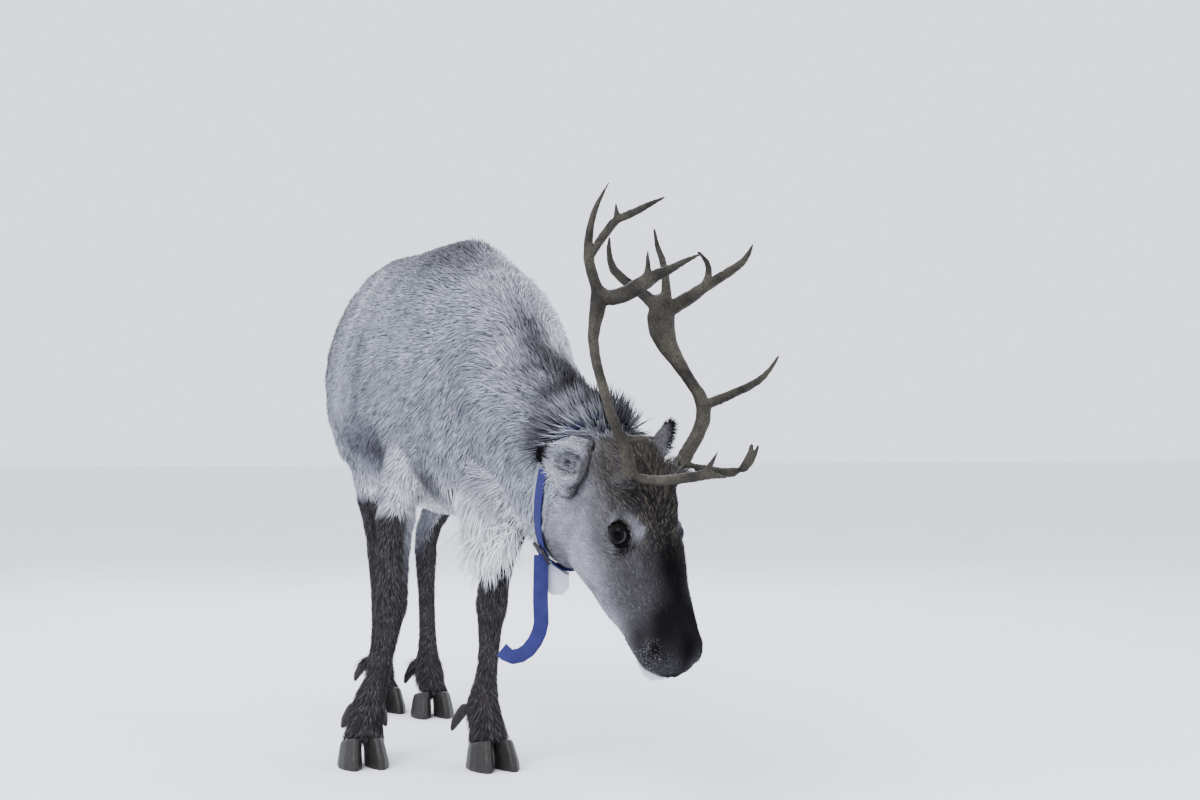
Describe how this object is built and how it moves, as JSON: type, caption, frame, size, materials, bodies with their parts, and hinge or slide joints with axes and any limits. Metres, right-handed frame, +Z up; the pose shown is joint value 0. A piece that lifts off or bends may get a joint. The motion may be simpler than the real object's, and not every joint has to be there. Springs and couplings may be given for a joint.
{
  "type": "reindeer display model",
  "caption": "Life-size still model of a standing domestic reindeer with its head lowered, in winter coat with antlers, wearing a webbing collar with a hanging end and a tag.",
  "frame": {"origin": "on the floor under the middle of the model's box", "axes": "+Z up, the animal faces -Y along the length of its body, +X to its own left"},
  "size_m": [0.5548, 1.6924, 0.9815],
  "materials": {
    "coat_body": "dense pale grey winter coat with darker grey streaks, white below",
    "coat_head": "short grey-brown face hair, near black on the bridge of the nose",
    "coat_leg": "short dark grey-brown leg hair",
    "hoof": "dark horn, matt with fine growth rings",
    "antler": "dry olive-brown bone with fine furrows, paler at the tips",
    "eye": "wet, nearly black",
    "webbing": "blue-violet woven webbing",
    "buckle": "black moulded plastic",
    "tag": "pale grey moulded plastic, bare"
  },
  "bodies": {
    "root": {"antler_left_beam": "antler", "antler_left_brow": "antler", "antler_left_front": "antler", "antler_left_middle": "antler", "antler_left_outer": "antler", "antler_left_rear": "antler", "antler_right_beam": "antler", "antler_right_brow": "antler", "antler_right_front": "antler", "antler_right_rear": "antler", "collar_buckle": "buckle", "collar_end": "webbing", "collar_fold": "webbing", "collar_strap": "webbing", "collar_tag": "tag", "dewclaw_foreleg_left_left": "hoof", "dewclaw_foreleg_left_right": "hoof", "dewclaw_foreleg_right_left": "hoof", "dewclaw_foreleg_right_right": "hoof", "dewclaw_hindleg_left_left": "hoof", "dewclaw_hindleg_left_right": "hoof", "dewclaw_hindleg_right_left": "hoof", "dewclaw_hindleg_right_right": "hoof", "ear_left": "coat_head", "ear_right": "coat_head", "eye_left": "eye", "eye_right": "eye", "foreleg_left_lower": "coat_leg", "foreleg_left_upper": "coat_leg", "foreleg_right_lower": "coat_leg", "foreleg_right_upper": "coat_leg", "head": "coat_head", "hindleg_left_lower": "coat_leg", "hindleg_left_upper": "coat_leg", "hindleg_right_lower": "coat_leg", "hindleg_right_upper": "coat_leg", "hoof_foreleg_left_left": "hoof", "hoof_foreleg_left_right": "hoof", "hoof_foreleg_right_left": "hoof", "hoof_foreleg_right_right": "hoof", "hoof_hindleg_left_left": "hoof", "hoof_hindleg_left_right": "hoof", "hoof_hindleg_right_left": "hoof", "hoof_hindleg_right_right": "hoof", "neck": "coat_body", "tail": "coat_body", "torso_front": "coat_body", "torso_rear": "coat_body"}
  },
  "joints": []
}
